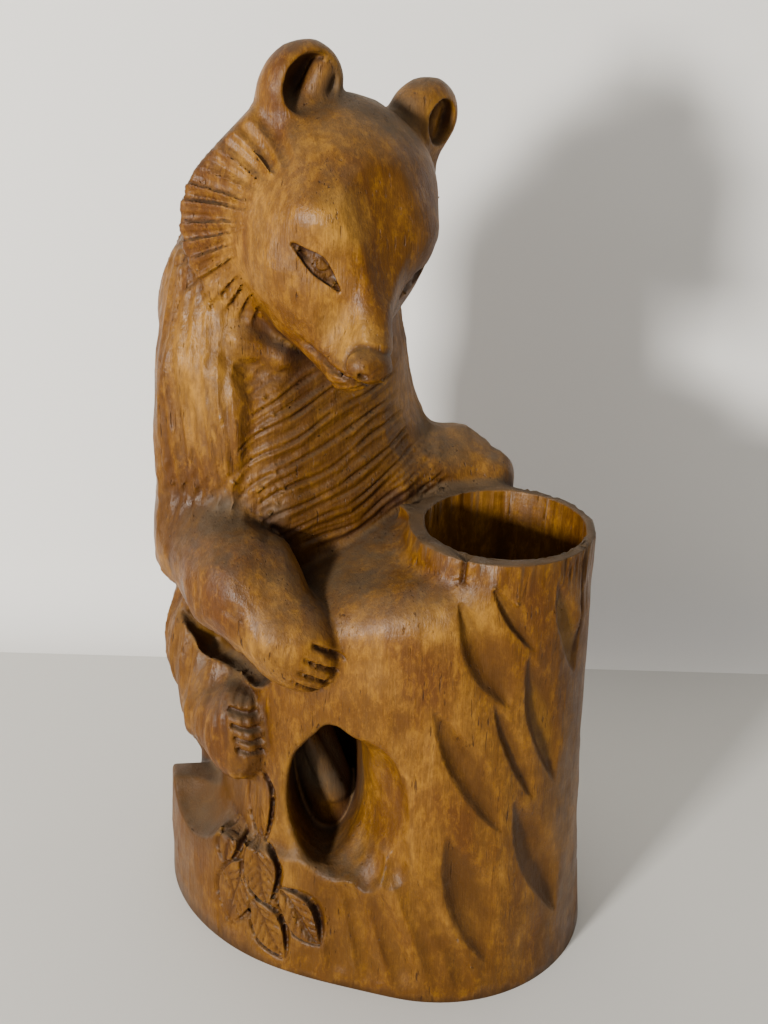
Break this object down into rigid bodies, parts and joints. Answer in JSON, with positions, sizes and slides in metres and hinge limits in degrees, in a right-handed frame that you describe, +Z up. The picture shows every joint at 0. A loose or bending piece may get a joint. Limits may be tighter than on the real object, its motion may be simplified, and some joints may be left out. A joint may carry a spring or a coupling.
{
  "type": "carved wooden bear figure with tree-stump cup",
  "caption": "Carved wooden bear sitting against a tree stump and leaning its forearm over it, the stump hollowed into a cup, with a leaf sprig and a root hollow, cut from one block of wood.",
  "frame": {"origin": "middle of the footprint's bounding box, on the flat underside", "axes": "+Z up, +X from the bear's body towards the stump cup, -Y towards the viewer on the carved show side"},
  "size_m": [0.1359, 0.13, 0.2695],
  "materials": {
    "wood": "honey-brown stain under worn satin wax"
  },
  "bodies": {
    "root": {"carved_bear": "wood"}
  },
  "joints": []
}
